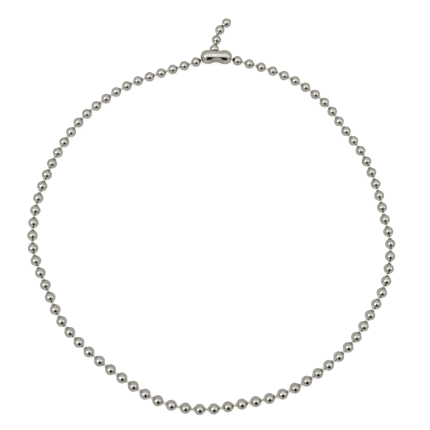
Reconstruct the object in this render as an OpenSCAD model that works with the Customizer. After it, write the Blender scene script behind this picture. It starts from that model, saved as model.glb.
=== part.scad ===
// Ball chain necklace, lying in a loop on a flat surface. Millimetres, +Z up, and z = 0 is the surface.
// Hollow beads are held together by short wires with a round head inside each bead.
// A folded sheet connector grips one bead near each end of the chain and lets a short tail out.

/* [Beads] */
// Outside diameter of each round bead
bead_d = 4.8; // [4:0.1:6.4]
// Thickness of the bead's sheet
bead_sheet = 0.4; // [0.25:0.05:0.45]
// Diameter of the two holes through a bead
hole_d = 1.3; // [1.2:0.05:1.4]
// How far the drawn lip stands out past the ball at each hole
lip_len = 0.2; // [0.05:0.05:0.3]
// Metal left around the hole at the end of the lip
lip_wall = 0.25; // [0.15:0.05:0.35]

/* [Links] */
// Diameter of the link's wire
wire_d = 0.75; // [0.6:0.05:0.8]
// Diameter of the round head at each end of a link
head_d = 1.5; // [1.45:0.05:1.6]
// Space between a head and the inside of its bead as the chain lies
head_play = 0.25; // [0.2:0.05:0.35]
// Widest space between two neighbouring beads as the chain lies
bead_gap = 1.45; // [1.2:0.05:1.7]

/* [Connector] */
// Thickness of the connector's sheet
sheet_t = 0.4; // [0.3:0.05:0.6]
// Space between a gripped bead's lips and the inside of its lobe
seat_play = 0.35; // [0.3:0.05:0.5]
// How far each gripped bead is pulled outwards from the middle of its lobe
seat_shift = 0.1; // [0:0.05:0.15]
// How far each gripped bead hangs below the middle of its lobe
seat_drop = 0.3; // [0:0.05:0.3]
// How far the bead beyond each gripped one is held off the surface
first_lift = 0.35; // [0:0.05:0.4]
// How far the mouth's lower edge holds the tail's first bead off the surface
tail_lift = 0.7; // [0.6:0.05:0.8]
// Length of the channel between the two gripped beads
channel_len = 4.4; // [4:0.1:6]
// Depth of the dent that is pressed across the fold side, which keeps the two beads apart
dent = 1.95; // [1.7:0.05:2.2]
// Radius of the dent, along the connector
dent_r = 4; // [3.6:0.1:4.4]
// How far the mouth's edges stand from the connector's axis, at their lowest
mouth_level = 2.1; // [2.05:0.05:2.3]
// Radius of the long dip that opens the mouth for a bead
mouth_r = 7; // [6:0.5:8]
// Space on each side of the wire in the narrow part of the slot
slot_play = 0.3; // [0.2:0.05:0.45]
// Diameter of the opening at each end
end_hole_d = 3.2; // [3:0.1:3.4]
// How far the end openings lie from the axis, towards the fold
end_hole_shift = 0.8; // [0.6:0.1:0.9]
// How far the slot is turned up from level, in degrees
slot_turn = 8; // [5:1:9]

/* [Hidden] */
$fn = 48;

// Middle of the connector, seen from above
connector_at = [3.4, 77];
// The loop, from the connector's right end round to its left end, seen from above
loop_route = [
  [26.5, 72], [43, 64.5], [57, 52.5], [65.5, 38.5], [74, 24], [79, 8], [81.5, -9],
  [83, -23], [79, -41], [69.5, -57.5], [59, -71], [44.5, -82.5], [28, -91.5],
  [10, -95.5], [-8.5, -97.5], [-26.5, -93.5], [-42, -83.5], [-57, -71.5],
  [-69, -58], [-76.5, -42], [-83, -24.5], [-83, -5.5], [-78.5, 12.5],
  [-71, 29.5], [-60.5, 45], [-41.5, 60.5], [-18.5, 70.3], [-7.2, 74.3]
];
// The tail, as a step to each bead from the one before, seen from above and in spacings of the chain
tail_steps = [[0.608, 0.76], [0.211, 0.952], [0.301, 0.936], [0.568, 0.688]];
// Straight steps that stand for the curve between two route points
route_steps = 12;

// Bead sizes that follow from the values above
bead_r = bead_d / 2;
hollow_r = bead_r - bead_sheet;
lip_r = hole_d / 2 + lip_wall;
lip_reach = bead_r + lip_len;
// The lip's root lies just inside the ball, as shares of its radius along and away from the hole
lip_root = [0.64, 0.75] * bead_r;
bead_span = norm([lip_reach, lip_r]);
// Middle of the hole's wall, where the wire crosses it
hole_mid = (lip_reach + sqrt(pow(hollow_r, 2) - pow(hole_d / 2, 2))) / 2;

// Spacing of the beads and length of a link between the middles of its heads
pitch = bead_d + bead_gap;
head_at = hollow_r - head_d / 2 - head_play;
link_len = pitch - 2 * head_at;

// Connector sizes that follow from the bead that it grips
lobe_r = bead_span + seat_play + sheet_t;
lobe_gap = bead_d + channel_len;
slot_w = wire_d + 2 * slot_play;
connector_half = lobe_gap / 2 + lobe_r;
// Longer than any piece that is cut, so that a cut passes right through
through = 2 * connector_half;

// Points on a smooth curve through a, b, c and d, at share t of the way from b to c
function curve_point(a, b, c, d, t) =
  (2 * b + (c - a) * t + (2 * a - 5 * b + 4 * c - d) * pow(t, 2)
    + (3 * b - a - 3 * c + d) * pow(t, 3)) / 2;
function before_first(route) = 2 * route[0] - route[1];
function after_last(route) = 2 * route[len(route) - 1] - route[len(route) - 2];
function curve(route) =
  let (r = concat([before_first(route)], route, [after_last(route)]))
  concat(
    [for (i = [1 : len(route) - 1], k = [0 : route_steps - 1])
      curve_point(r[i - 1], r[i], r[i + 1], r[i + 2], k / route_steps)],
    [route[len(route) - 1]]
  );

// Distance along a path to each of its points
function distances(path) =
  [for (i = 0, s = 0; i < len(path); i = i + 1, s = s + norm(path[min(i, len(path) - 1)] - path[i - 1])) s];
// Places spaced evenly along a route, no further apart than one pitch
function places(route) =
  let (
    path = curve(route),
    s = distances(path),
    along = s[len(s) - 1],
    count = ceil(along / pitch - 0.001),
    x_at = [for (i = [0 : len(s) - 1]) [s[i], path[i].x]],
    y_at = [for (i = [0 : len(s) - 1]) [s[i], path[i].y]]
  )
  [for (i = [0 : count]) [lookup(i * along / count, x_at), lookup(i * along / count, y_at)]];

// Gripped beads hang in the connector, the next ones are held up a little, and the others lie flat
seat_at = lobe_gap / 2 + seat_shift;
right_seat = connector_at + [seat_at, 0];
left_seat = connector_at - [seat_at, 0];
loop_places = places(concat([right_seat], loop_route, [left_seat]));
loop_end = len(loop_places) - 1;
function walked(from, steps) =
  [for (i = 0, p = from + steps[0]; i < len(steps); i = i + 1, p = p + steps[min(i, len(steps) - 1)]) p];
tail_places = walked(left_seat, pitch * tail_steps);
function height(i) =
  i == 0 || i == loop_end ? lobe_r - seat_drop
  : i == 1 || i == loop_end - 1 ? bead_r + first_lift
  : i == loop_end + 1 ? bead_r + tail_lift
  : bead_r;
flat = concat(loop_places, tail_places);
chain_end = len(flat) - 1;
chain = [for (i = [0 : chain_end]) [flat[i].x, flat[i].y, height(i)]];

// Direction of the holes in each bead. Each bead turns until it bends equally towards both its links,
// which a few rounds settle, starting halfway between its two neighbours.
settle_rounds = 8;
function unit(v) = v / norm(v);
function step(i) = i < 0 || i >= chain_end ? [0, 0, 0] : chain[i + 1] - chain[i];
function start_aims() = [for (i = [0 : chain_end]) unit(step(i - 1) + step(i))];
function aim_at(aims, i) = i < 0 || i > chain_end ? [0, 0, 0] : aims[i];
function settled(aims, rounds) =
  rounds == 0 ? aims
  : settled(
      [for (i = [0 : chain_end])
        unit(step(i - 1) + step(i) - hole_mid * (aim_at(aims, i - 1) + aim_at(aims, i + 1)))],
      rounds - 1
    );
aims = settled(start_aims(), settle_rounds);

// The origin is the middle of the necklace's outline, on the surface
xs = [for (p = chain) p.x];
ys = [for (p = chain) p.y];
middle = [max(xs) + min(xs), max(ys) + min(ys)] / 2;
module laid() {
  translate([-middle.x, -middle.y, 0]) children();
}
// Turns a piece that is drawn along Z to a direction and moves it to a point
module aimed(p, d) {
  translate(p) rotate([0, acos(d.z), atan2(d.y, d.x)]) children();
}

// One hollow bead with a drawn lip round each hole, its holes along Z
module bead() {
  difference() {
    union() {
      sphere(r=bead_r);
      lip();
      mirror([0, 0, 1]) lip();
    }
    sphere(r=hollow_r);
    cylinder(d=hole_d, h=2 * lip_reach + 1, center=true);
  }
}
module lip() {
  translate([0, 0, lip_root[0]])
    cylinder(r1=lip_root[1], r2=lip_r, h=lip_reach - lip_root[0]);
}

// One link: a wire with a round head at each end, along Z
module link() {
  cylinder(d=wire_d, h=link_len, center=true);
  for (end = [-1, 1])
    translate([0, 0, end * link_len / 2]) sphere(d=head_d);
}

// Every bead of the chain, from the right gripped bead round the loop to the tail's free end
module chain_beads() {
  color("#b9b8ae") laid()
    for (i = [0 : chain_end]) aimed(chain[i], aims[i]) bead();
}

// A link from each bead's hole to the facing hole of the next
module chain_links() {
  color("#a5a498") laid()
    for (i = [0 : chain_end - 1]) {
      from = chain[i] + hole_mid * aims[i];
      to = chain[i + 1] - hole_mid * aims[i + 1];
      aimed((from + to) / 2, unit(to - from)) link();
    }
}

// The connector lies along X with its slot towards +Y and its fold towards -Y.
// Its skin and its hollow are the same form, the hollow one sheet smaller all round.
module connector_form(inset) {
  difference() {
    rounded_bar(lobe_r - inset);
    dent_press(inset);
  }
}
module rounded_bar(r) {
  rotate([0, 90, 0]) {
    cylinder(r=r, h=lobe_gap, center=true);
    for (side = [-1, 1]) translate([0, 0, side * lobe_gap / 2]) sphere(r=r);
  }
}
// The round bar that presses the dent into the fold side
module dent_press(inset) {
  translate([0, dent - lobe_r - dent_r, 0]) cylinder(r=dent_r + inset, h=through, center=true);
}
// Long dip across both open edges, which is the mouth that a bead goes in by
module mouth() {
  translate([0, mouth_level + mouth_r, 0]) cylinder(r=mouth_r, h=through, center=true);
}
// Narrow slot for the wire, from end to end
module wire_slot() {
  translate([-through, 0, -slot_w / 2]) cube([2 * through, through, slot_w]);
}
// Openings at the two ends, which a link leaves by
module end_holes() {
  translate([0, -end_hole_shift, 0]) rotate([0, 90, 0]) difference() {
    cylinder(d=end_hole_d, h=2 * through, center=true);
    cylinder(d=end_hole_d + 1, h=lobe_gap, center=true);
  }
}
module snap_connector() {
  color("#b1b0a5") laid() translate([connector_at.x, connector_at.y, lobe_r])
    rotate([slot_turn, 0, 0]) difference() {
      connector_form(0);
      connector_form(sheet_t);
      mouth();
      wire_slot();
      end_holes();
    }
}

chain_beads();
chain_links();
snap_connector();
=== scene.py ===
import math
import random

import bpy
from mathutils import Matrix, Vector


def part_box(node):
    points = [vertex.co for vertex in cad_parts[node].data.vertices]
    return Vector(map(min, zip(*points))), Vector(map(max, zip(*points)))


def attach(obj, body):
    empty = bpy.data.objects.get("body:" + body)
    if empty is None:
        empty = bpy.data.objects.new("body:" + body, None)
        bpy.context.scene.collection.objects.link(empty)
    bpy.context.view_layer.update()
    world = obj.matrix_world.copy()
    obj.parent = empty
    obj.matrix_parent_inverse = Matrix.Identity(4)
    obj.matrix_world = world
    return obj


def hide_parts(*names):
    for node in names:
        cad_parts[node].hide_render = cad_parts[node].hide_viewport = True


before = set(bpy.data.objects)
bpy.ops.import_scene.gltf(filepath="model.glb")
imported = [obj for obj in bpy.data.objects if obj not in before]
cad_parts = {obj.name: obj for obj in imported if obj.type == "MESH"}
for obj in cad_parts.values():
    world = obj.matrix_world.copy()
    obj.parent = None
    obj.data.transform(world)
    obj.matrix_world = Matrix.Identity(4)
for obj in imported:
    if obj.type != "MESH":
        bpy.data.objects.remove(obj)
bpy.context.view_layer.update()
mm = 0.001
print("frame loaded:", ", ".join(sorted(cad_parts)))


# Camera

view = {
    "place": (-0.0295, -0.14978, 0.3798),
    "turn": (20.67, -4.03, -1.52),  # degrees about X, Y and Z
    "lens": 72,
    "sensor": 36,
}

bpy.ops.object.camera_add(location=view["place"], rotation=[math.radians(a) for a in view["turn"]])
camera = bpy.context.object
camera.name = "camera"
camera.data.lens = view["lens"]
camera.data.sensor_width = view["sensor"]
bpy.context.scene.camera = camera
bpy.context.scene.view_settings.view_transform = "Standard"
print("camera placed")


# Hand tools

def pickNothing():
    bpy.ops.object.select_all(action="DESELECT")


def pickOnly(piece):
    pickNothing()
    piece.select_set(True)
    bpy.context.view_layer.objects.active = piece


def editMode(kind="VERT"):
    bpy.ops.object.mode_set(mode="EDIT")
    bpy.ops.mesh.select_mode(type=kind)


def objectMode():
    bpy.ops.object.mode_set(mode="OBJECT")


def chooseVerts(piece, wanted):  # by index, and leaves the piece in edit mode
    editMode("VERT")
    bpy.ops.mesh.select_all(action="DESELECT")
    objectMode()
    for index in wanted:
        piece.data.vertices[index].select = True
    bpy.ops.object.mode_set(mode="EDIT")


def chooseFaces(piece, test):  # by place, and leaves the piece in edit mode
    editMode("FACE")
    bpy.ops.mesh.select_all(action="DESELECT")
    objectMode()
    for face in piece.data.polygons:
        face.select = test(face.center)
    bpy.ops.object.mode_set(mode="EDIT")


def mergeClose(gap):  # in edit mode, and leaves everything selected
    bpy.ops.mesh.select_all(action="SELECT")
    bpy.ops.mesh.remove_doubles(threshold=gap)


def applyModifier(piece, kind, **settings):
    pickOnly(piece)
    added = piece.modifiers.new(kind.lower(), kind)
    for name, value in settings.items():
        setattr(added, name, value)
    bpy.ops.object.modifier_apply(modifier=added.name)


def applyPlace(piece):
    pickOnly(piece)
    bpy.ops.object.transform_apply(location=True, rotation=True, scale=True)


def smooth(piece, degrees):
    pickOnly(piece)
    bpy.ops.object.shade_smooth_by_angle(angle=math.radians(degrees))


# Where the chain's beads lie, read from the frame

reading = {
    "merge": 0.0001 * mm,  # joins the solids' loose triangles
    "rimShare": 0.985,  # a point this near to the furthest one is on a lip's rim
}


def looseParts(nodeName):  # a copy of the node, merged and taken apart
    pickOnly(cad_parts[nodeName])
    bpy.ops.object.duplicate()
    editMode()
    mergeClose(reading["merge"])
    bpy.ops.mesh.separate(type="LOOSE")
    objectMode()
    return list(bpy.context.selected_objects)


def placeAndAim(part):  # the lips' rims are the points furthest from a bead's middle
    points = [v.co.copy() for v in part.data.vertices]
    low = Vector([min(p[k] for p in points) for k in range(3)])
    high = Vector([max(p[k] for p in points) for k in range(3)])
    middle = (low + high) / 2
    reach = max((p - middle).length for p in points)
    rims = [p - middle for p in points if (p - middle).length > reading["rimShare"] * reach]
    aim = sum((r if r.dot(rims[0]) > 0 else -r for r in rims), Vector((0, 0, 0)))
    return middle, aim.normalized()


def chainPlaces():  # in order round the loop, from the front
    parts = looseParts("chain_beads")
    found = [placeAndAim(part) for part in parts]
    pickNothing()
    for part in parts:
        part.select_set(True)
    bpy.ops.object.delete()
    return sorted(found, key=lambda f: math.atan2(f[0].x, -f[0].y))


# Beads

bead = {
    "radius": 2.4 * mm,
    "sheet": 0.4 * mm,
    "holeRadius": 0.72 * mm,
    "lipRadius": 0.9 * mm,
    "lipReach": 2.6 * mm,  # from the bead's middle to the end of a lip
    "ballSteps": 6,  # steps up the ball to where the lip starts
    "ballEnd": 48,  # degrees above the middle
    "lipSteps": 3,
    "lipHollow": 0.08 * mm,  # how far the lip's side dips in
    "rimRound": 0.06 * mm,  # outer edge of the lip's end
    "holeRound": (0.04 * mm, 0.05 * mm),  # its inner edge, across and along the hole
    "innerSteps": 4,
    "sides": 32,
    "merge": 0.001 * mm,
    "smoothUpTo": 45,  # degrees between two faces
    "rollSeed": 11,  # each bead is rolled to its own side
}


def arc(radius, end, steps):  # (radius, height) of points from the bead's middle up to an angle
    turns = [end * k / steps for k in range(steps + 1)]
    return [(radius * math.cos(turn), radius * math.sin(turn)) for turn in turns]


def beadProfile(b):  # from just above the middle, up and over the lip, and back down inside
    ball = arc(b["radius"], math.radians(b["ballEnd"]), b["ballSteps"])[1:]
    rootR, rootZ = ball[-1]
    rise = b["lipReach"] - b["rimRound"] - rootZ
    lip = []
    for k in range(1, b["lipSteps"] + 1):
        share = k / b["lipSteps"]
        dip = b["lipHollow"] * math.sin(math.pi * share)
        lip.append((rootR + (b["lipRadius"] - rootR) * share - dip, rootZ + rise * share - dip))
    across, along = b["holeRound"]
    rim = [(b["lipRadius"] - b["rimRound"], b["lipReach"]),
           (b["holeRadius"] + across, b["lipReach"]),
           (b["holeRadius"], b["lipReach"] - along)]
    inside = b["radius"] - b["sheet"]
    inner = arc(inside, math.acos(b["holeRadius"] / inside), b["innerSteps"])
    return ball + lip + rim + inner[::-1]


def makeBead(b):
    pickNothing()
    bpy.ops.mesh.primitive_circle_add(vertices=b["sides"], radius=b["radius"], fill_type="NOTHING")
    made = bpy.context.object
    editMode("EDGE")
    bpy.ops.mesh.select_all(action="SELECT")
    nowR, nowZ = b["radius"], 0
    for nextR, nextZ in beadProfile(b):
        bpy.ops.mesh.extrude_region_move(TRANSFORM_OT_translate={"value": (0, 0, nextZ - nowZ)})
        bpy.ops.transform.resize(value=(nextR / nowR, nextR / nowR, 1), center_override=(0, 0, nextZ))
        nowR, nowZ = nextR, nextZ
    objectMode()
    applyModifier(made, "MIRROR", use_axis=(False, False, True), use_clip=True, merge_threshold=b["merge"])
    editMode()
    mergeClose(b["merge"])
    bpy.ops.mesh.normals_make_consistent(inside=False)
    objectMode()
    mapAround(made, b["lipReach"])
    smooth(made, b["smoothUpTo"])
    return made


def mapAround(piece, reach):  # u is turns about the bead's own axis, v runs from hole to hole
    layer = piece.data.uv_layers.new(name="aroundAxis")
    for face in piece.data.polygons:
        points = [piece.data.vertices[index].co for index in face.vertices]
        turns = [math.atan2(p.y, p.x) / (2 * math.pi) + 0.5 for p in points]
        wraps = max(turns) - min(turns) > 0.5
        for loop, p, turn in zip(face.loop_indices, points, turns):
            layer.data[loop].uv = (turn + 1 if wraps and turn < 0.5 else turn, p.z / (2 * reach) + 0.5)


def makeChain(b):
    pattern = makeBead(b)
    rolls = random.Random(b["rollSeed"])
    copies = []
    for middle, aim in chainPlaces():
        one = pattern.copy()
        one.data = pattern.data.copy()
        bpy.context.collection.objects.link(one)
        turn = aim.to_track_quat("Z", "Y").to_matrix().to_4x4()
        roll = Matrix.Rotation(rolls.uniform(0, 2 * math.pi), 4, "Z")
        one.data.transform(Matrix.Translation(middle) @ turn @ roll)
        copies.append(one)
    pickOnly(pattern)
    bpy.ops.object.delete()
    for one in copies:
        one.select_set(True)
    bpy.context.view_layer.objects.active = copies[0]
    bpy.ops.object.join()
    chain = bpy.context.object
    chain.name = "beadChain"
    print("beads:", len(copies))
    return chain


# Snap connector, modelled level along X with its fold towards -Y and its slot towards +Y

connector = {
    "turn": 8,  # degrees that the slot is turned up
    "lobeGap": 9.2 * mm,  # between the middles of the two lobes
    "sheet": 0.4 * mm,
    "dent": 1.95 * mm,  # how deep the fold side is pressed in at the waist
    "dentRadius": 4 * mm,
    "mouthLevel": 2.1 * mm,  # from the connector's axis to the bottom of the mouth
    "mouthRadius": 7 * mm,
    "mouthSides": 180,
    "mouthCutter": 20 * mm,  # length of the round tool that cuts the mouth
    "slot": 1.35 * mm,
    "endHoleRadius": 1.66 * mm,
    "endHoleTurn": 15,  # degrees that the end openings face towards the fold
    "edge": 0.07 * mm,  # rounding of the sheet's edges
    "edgeSteps": 2,
    "edgeFrom": 50,  # degrees, and sharper corners are rounded
    "sides": 96,
    "waistRings": 24,  # from the waist to each lobe's middle
    "lobeRings": 12,
    "slotMerge": 0.06 * mm,  # joins points that the slot's two cuts leave close together
    "edgeMerge": 0.004 * mm,
    "smoothUpTo": 40,
}


def addRing(c, middle, tilt, radius):
    bpy.ops.mesh.select_all(action="DESELECT")
    bpy.ops.mesh.primitive_circle_add(vertices=c["sides"], radius=radius, fill_type="NOTHING",
                                      location=middle, rotation=(0, math.pi / 2, tilt))


def pressFold(c, piece, x, radius):  # flattens the newest ring where the round dent reaches it
    dip = c["dentRadius"] ** 2 - x * x
    if dip <= 0:
        return
    level = radius - c["dent"] + c["dentRadius"] - math.sqrt(dip)
    if level >= radius:
        return
    objectMode()
    pressed = [v.index for v in piece.data.vertices if v.select and v.co.y < -level]
    chooseVerts(piece, pressed)
    bpy.ops.transform.resize(value=(1, 0, 1), center_override=(x, -level, 0))


def addRings(c, piece, radius):  # waist and lobe to each side of the middle ring
    reach = math.sqrt(radius ** 2 - c["endHoleRadius"] ** 2)
    half = c["lobeGap"] / 2
    for side in (-1, 1):
        for k in range(1, c["waistRings"] + 1):
            x = side * half * k / c["waistRings"]
            addRing(c, (x, 0, 0), 0, radius)
            pressFold(c, piece, x, radius)
        for k in range(1, c["lobeRings"] + 1):
            share = k / c["lobeRings"]
            out = reach * math.sin(share * math.pi / 2) if k < c["lobeRings"] else reach
            tilt = math.radians(c["endHoleTurn"]) * share
            middle = Vector((side * (half + out * math.cos(tilt)), -out * math.sin(tilt), 0))
            addRing(c, middle, -side * tilt, math.sqrt(radius ** 2 - out * out))


def cutSlot(c, piece):
    for side in (-1, 1):
        bpy.ops.mesh.select_all(action="SELECT")
        bpy.ops.mesh.bisect(plane_co=(0, 0, side * c["slot"] / 2), plane_no=(0, 0, 1))
    mergeClose(c["slotMerge"])
    objectMode()
    chooseFaces(piece, lambda p: abs(p.z) < c["slot"] / 2 and p.y > 0)
    bpy.ops.mesh.delete(type="FACE")
    objectMode()


def cutMouth(c, piece):
    pickNothing()
    bpy.ops.mesh.primitive_cylinder_add(vertices=c["mouthSides"], radius=c["mouthRadius"],
                                        depth=c["mouthCutter"],
                                        location=(0, c["mouthLevel"] + c["mouthRadius"], 0))
    tool = bpy.context.object
    applyModifier(piece, "BOOLEAN", operation="DIFFERENCE", object=tool, solver="EXACT")
    pickOnly(tool)
    bpy.ops.object.delete()


def makeConnector(c):
    low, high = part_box("snap_connector")
    radius = (high.z - low.z) / 2
    pickNothing()
    bpy.ops.mesh.primitive_circle_add(vertices=c["sides"], radius=radius, fill_type="NOTHING",
                                      rotation=(0, math.pi / 2, 0))
    made = bpy.context.object
    made.name = "snapConnector"
    applyPlace(made)
    editMode()
    bpy.ops.mesh.select_all(action="SELECT")
    pressFold(c, made, 0, radius)
    addRings(c, made, radius)
    bpy.ops.mesh.select_mode(type="EDGE")
    bpy.ops.mesh.select_all(action="SELECT")
    bpy.ops.mesh.bridge_edge_loops()
    bpy.ops.mesh.select_all(action="SELECT")
    bpy.ops.mesh.normals_make_consistent(inside=False)
    cutSlot(c, made)
    applyModifier(made, "SOLIDIFY", thickness=c["sheet"], offset=-1)
    cutMouth(c, made)
    applyModifier(made, "BEVEL", width=c["edge"], segments=c["edgeSteps"], limit_method="ANGLE",
                  angle_limit=math.radians(c["edgeFrom"]))
    editMode()
    mergeClose(c["edgeMerge"])
    objectMode()
    smooth(made, c["smoothUpTo"])
    made.rotation_euler = (math.radians(c["turn"]), 0, 0)
    made.location = ((low.x + high.x) / 2, (low.y + high.y) / 2, low.z + radius)
    applyPlace(made)
    print("connector:", len(made.data.polygons), "faces")
    return made


# Finishes

class Sock:  # a socket of a finish that takes + - * and abs in expressions
    def __init__(self, finish, out):
        self.finish = finish
        self.out = out

    def maths(self, kind, first, second):
        return self.finish.node("ShaderNodeMath", {"operation": kind}, {0: first, 1: second})

    def __add__(self, other):
        return self.maths("ADD", self, other)

    def __radd__(self, other):
        return self.maths("ADD", other, self)

    def __sub__(self, other):
        return self.maths("SUBTRACT", self, other)

    def __rsub__(self, other):
        return self.maths("SUBTRACT", other, self)

    def __mul__(self, other):
        return self.maths("MULTIPLY", self, other)

    def __rmul__(self, other):
        return self.maths("MULTIPLY", other, self)

    def __abs__(self):
        return self.maths("ABSOLUTE", self, 0.0)


class Finish:  # one material and the nodes behind its shader
    def __init__(self, name, fixed):
        self.material = bpy.data.materials.new(name)
        self.material.use_nodes = True
        self.tree = self.material.node_tree
        self.shader = self.tree.nodes["Principled BSDF"]
        for socket, value in fixed.items():
            self.shader.inputs[socket].default_value = value

    def node(self, kind, settings=None, values=None, out=0):
        made = self.tree.nodes.new(kind)
        for name, value in (settings or {}).items():
            setattr(made, name, value)
        for socket, value in (values or {}).items():
            self.feed(made.inputs[socket], value)
        return Sock(self, made.outputs[out])

    def feed(self, socket, value):
        if isinstance(value, Sock):
            self.tree.links.new(value.out, socket)
        else:
            socket.default_value = value

    def shade(self, socket, value):
        self.feed(self.shader.inputs[socket], value)

    def place(self):
        return self.node("ShaderNodeTexCoord", out="Object")

    def noise(self, where, scale, detail):
        return self.node("ShaderNodeTexNoise", None, {"Vector": where, "Scale": scale, "Detail": detail})

    def step(self, value, low, high):  # 0 below low, 1 above high, smooth between
        return self.node("ShaderNodeMapRange", {"interpolation_type": "SMOOTHSTEP"},
                         {"Value": value, "From Min": low, "From Max": high})

    def blend(self, share, first, second):
        return self.node("ShaderNodeMix", {"data_type": "RGBA"}, {0: share, 6: first, 7: second}, out=2)

    def bump(self, height, strength, distance):
        return self.node("ShaderNodeBump", None,
                         {"Strength": strength, "Distance": distance, "Height": height})


def between(share, low, high):  # low where the share is 0, high where it is 1
    return low + (high - low) * share


# Each range gives where a pattern starts to show and where it shows in full

beadFinish = {
    "steel": (0.345, 0.34, 0.312, 1),
    "warm": (0.318, 0.307, 0.27, 1),
    # painted highlight: the lips are coloured lighter than the steel to lift the dark reflections of the
    # neighbouring beads that they catch
    "lip": (0.48, 0.465, 0.425, 1),
    "seam": (0.12, 0.11, 0.10, 1),
    "edgeTint": (0.55, 0.54, 0.5, 1),  # colour where the surface is seen edge on
    "roughness": (0.04, 0.11),
    "patchScale": 190,  # patches of tone about as wide as a bead
    "patchRange": (0.35, 0.65),
    "lipRange": (0.30, 0.44),  # of the bead's length, from its middle
    # how strongly the painted highlight on the lips shows
    "lipLightShare": 0.9,
    "lipRougher": 0.08,
    "seamAt": 0.75,  # in turns about the bead, as its width is
    "seamWidth": 0.006,
    "seamShare": 0.8,
    "scratchScale": 2600,
    "scratchRange": (0.35, 0.7),
    "scratchShare": 0.5,  # depth of the scratches against the seam's
    "scratchHeight": 0.004 * mm,
    "bumpStrength": 0.35,
}

connectorFinish = {
    "steel": (0.385, 0.38, 0.35, 1),
    "warm": (0.36, 0.35, 0.315, 1),
    "speck": (0.25, 0.245, 0.225, 1),
    "edgeTint": (0.55, 0.54, 0.5, 1),
    "roughness": (0.10, 0.22),
    "patchScale": 260,
    "patchRange": (0.35, 0.65),
    "speckScale": 1500,
    "speckRange": (0.38, 0.70),
    "speckShare": 0.75,
    "grainScale": 2400,
    "grainStretch": (0.25, 1, 1),  # the grain runs along the connector
    "grainRange": (0.3, 0.7),
    "grainHeight": 0.006 * mm,
    "bumpStrength": 0.5,
}

linkFinish = {
    "steel": (0.52, 0.495, 0.455, 1),
    "dull": (0.34, 0.315, 0.285, 1),
    "roughness": (0.18, 0.34),
    "patchScale": 800,
    "patchRange": (0.35, 0.65),
    "drawScale": 5200,
    "drawRange": (0.3, 0.7),
    "drawHeight": 0.004 * mm,
    "bumpStrength": 0.4,
}


def finishBeads(f):
    made = Finish("polishedBeadSteel", {"Metallic": 1.0, "Specular Tint": f["edgeTint"]})
    where = made.place()
    around = made.node("ShaderNodeUVMap", {"uv_map": "aroundAxis"})
    turns = made.node("ShaderNodeSeparateXYZ", None, {0: around}, out=0)
    along = made.node("ShaderNodeSeparateXYZ", None, {0: around}, out=1)
    patches = made.noise(where, f["patchScale"], detail=3)
    scratches = made.noise(where, f["scratchScale"], detail=4)
    lip = made.step(abs(along - 0.5), *f["lipRange"])
    seam = 1 - made.step(abs(turns - f["seamAt"]), 0.0, f["seamWidth"])
    tone = made.blend(made.step(patches, *f["patchRange"]), f["steel"], f["warm"])
    # the lips are painted lighter, a painted highlight that offsets the dark reflections they catch
    lipsPaintedLighter = made.blend(lip * f["lipLightShare"], tone, f["lip"])
    made.shade("Base Color", made.blend(seam * f["seamShare"], lipsPaintedLighter, f["seam"]))
    scratched = between(made.step(scratches, *f["scratchRange"]), *f["roughness"])
    made.shade("Roughness", scratched + lip * f["lipRougher"])
    height = scratches * f["scratchShare"] - seam
    made.shade("Normal", made.bump(height, f["bumpStrength"], f["scratchHeight"]))
    return made.material


def finishConnector(f):
    made = Finish("polishedSheetSteel", {"Metallic": 1.0, "Specular Tint": f["edgeTint"]})
    where = made.place()
    stretched = made.node("ShaderNodeMapping", None, {"Vector": where, "Scale": f["grainStretch"]})
    patches = made.noise(where, f["patchScale"], detail=3)
    grain = made.noise(stretched, f["grainScale"], detail=5)
    specks = made.noise(where, f["speckScale"], detail=2)
    tone = made.blend(made.step(patches, *f["patchRange"]), f["steel"], f["warm"])
    speckled = made.step(specks, *f["speckRange"]) * f["speckShare"]
    made.shade("Base Color", made.blend(speckled, tone, f["speck"]))
    made.shade("Roughness", between(made.step(grain, *f["grainRange"]), *f["roughness"]))
    made.shade("Normal", made.bump(grain, f["bumpStrength"], f["grainHeight"]))
    return made.material


def finishLinks(f):
    made = Finish("drawnWireSteel", {"Metallic": 1.0})
    where = made.place()
    patches = made.noise(where, f["patchScale"], detail=3)
    drawn = made.noise(where, f["drawScale"], detail=3)
    made.shade("Base Color", made.blend(made.step(patches, *f["patchRange"]), f["steel"], f["dull"]))
    made.shade("Roughness", between(made.step(drawn, *f["drawRange"]), *f["roughness"]))
    made.shade("Normal", made.bump(drawn, f["bumpStrength"], f["drawHeight"]))
    return made.material


def dress(piece, material):
    piece.data.materials.clear()
    piece.data.materials.append(material)


beadChain = makeChain(bead)
dress(beadChain, finishBeads(beadFinish))
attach(beadChain, "root")
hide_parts("chain_beads")

snapConnector = makeConnector(connector)
dress(snapConnector, finishConnector(connectorFinish))
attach(snapConnector, "root")
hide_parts("snap_connector")

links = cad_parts["chain_links"]
dress(links, finishLinks(linkFinish))
print("finishes on")


# Floor, light and the dark side of the room

studio = {
    "floorSize": 8,
    "floorDrop": 0.02 * mm,  # keeps the floor just under the beads
    "floorGlow": 0.80,
    "floorColour": (0.25, 0.25, 0.25, 1),
    "clothColour": (0.01, 0.01, 0.01, 1),
    "matt": 0.9,  # roughness of the floor and the dark cloth
    "roomGlow": 1.0,
    "window": {"place": (-1.21, -0.46, 1.45), "size": 0.96, "glow": 4.2},
    "sideLamp": {"place": (0.88, -0.14, 0.80), "size": 0.50, "glow": 2.4},
    "skylight": {"place": (-0.05, -0.02, 1.95), "size": 1.6, "glow": 0.95},
    "ceiling": {"place": (-0.12, -0.20, 2.25), "size": 5.0, "glow": 0.42},
    "darkStand": {"place": (0.12, -0.62, 0.37), "width": 0.74, "height": 0.66, "sides": 48},
    "darkWedge": {  # from beside the camera out to the stand
        "top": (0.0, -0.165, 0.41),
        "topWidth": 0.13,
        "foot": (0.06, -0.60, 0.55),
        "footWidth": 0.50,
    },
}


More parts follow.
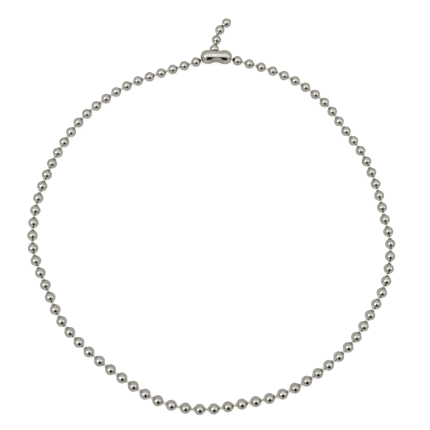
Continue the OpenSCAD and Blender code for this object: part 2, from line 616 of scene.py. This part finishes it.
def plainFinish(name, colour, matt, glow=0.0):
    made = Finish(name, {"Base Color": colour, "Roughness": matt, "Specular IOR Level": 0.0,
                         "Emission Color": (1, 1, 1, 1), "Emission Strength": glow})
    return made.material


def addFloor(s):
    pickNothing()
    bpy.ops.mesh.primitive_plane_add(size=s["floorSize"], location=(0, 0, -s["floorDrop"]))
    floor = bpy.context.object
    floor.name = "floor"
    applyPlace(floor)
    dress(floor, plainFinish("whiteTable", s["floorColour"], s["matt"], s["floorGlow"]))


def addLight(name, light):  # a round lamp that faces the necklace
    bpy.ops.object.light_add(type="AREA", location=light["place"])
    lamp = bpy.context.object
    lamp.name = name
    lamp.data.shape = "DISK"
    lamp.data.size = light["size"]
    area = math.pi / 4 * light["size"] ** 2
    lamp.data.energy = light["glow"] * math.pi * area  # as bright to look at, whatever its size
    lamp.rotation_euler = Vector(light["place"]).to_track_quat("Z", "Y").to_euler()


def addStand(d):
    pickNothing()
    bpy.ops.mesh.primitive_circle_add(vertices=d["sides"], radius=0.5, fill_type="NGON",
                                      location=d["place"], rotation=(math.pi / 2, 0, 0))
    made = bpy.context.object
    made.name = "darkStand"
    made.scale = (d["width"], d["height"], 1)
    applyPlace(made)
    return made


def addWedge(d):  # each end of a plane is widened and moved to its place
    pickNothing()
    bpy.ops.mesh.primitive_plane_add(size=1)
    made = bpy.context.object
    made.name = "darkWedge"
    upper = [v.index for v in made.data.vertices if v.co.y > 0]
    lower = [v.index for v in made.data.vertices if v.co.y < 0]
    moves = [(upper, 0.5, d["top"], d["topWidth"]),
             (lower, -0.5, d["foot"], d["footWidth"])]
    for end, y, place, width in moves:
        chooseVerts(made, end)
        bpy.ops.transform.resize(value=(width, 1, 1), center_override=(0, y, 0))
        bpy.ops.transform.translate(value=Vector(place) - Vector((0, y, 0)))
        objectMode()
    return made


def lightRoom(s):
    world = bpy.data.worlds.new("room")
    world.use_nodes = True
    back = world.node_tree.nodes["Background"]
    back.inputs["Color"].default_value = (1, 1, 1, 1)
    back.inputs["Strength"].default_value = s["roomGlow"]
    bpy.context.scene.world = world


addFloor(studio)
for lampName in ("window", "sideLamp", "skylight", "ceiling"):
    addLight(lampName, studio[lampName])
darkCloth = plainFinish("darkCloth", studio["clothColour"], studio["matt"])
for card in (addStand(studio["darkStand"]), addWedge(studio["darkWedge"])):
    dress(card, darkCloth)
lightRoom(studio)
print("studio ready")
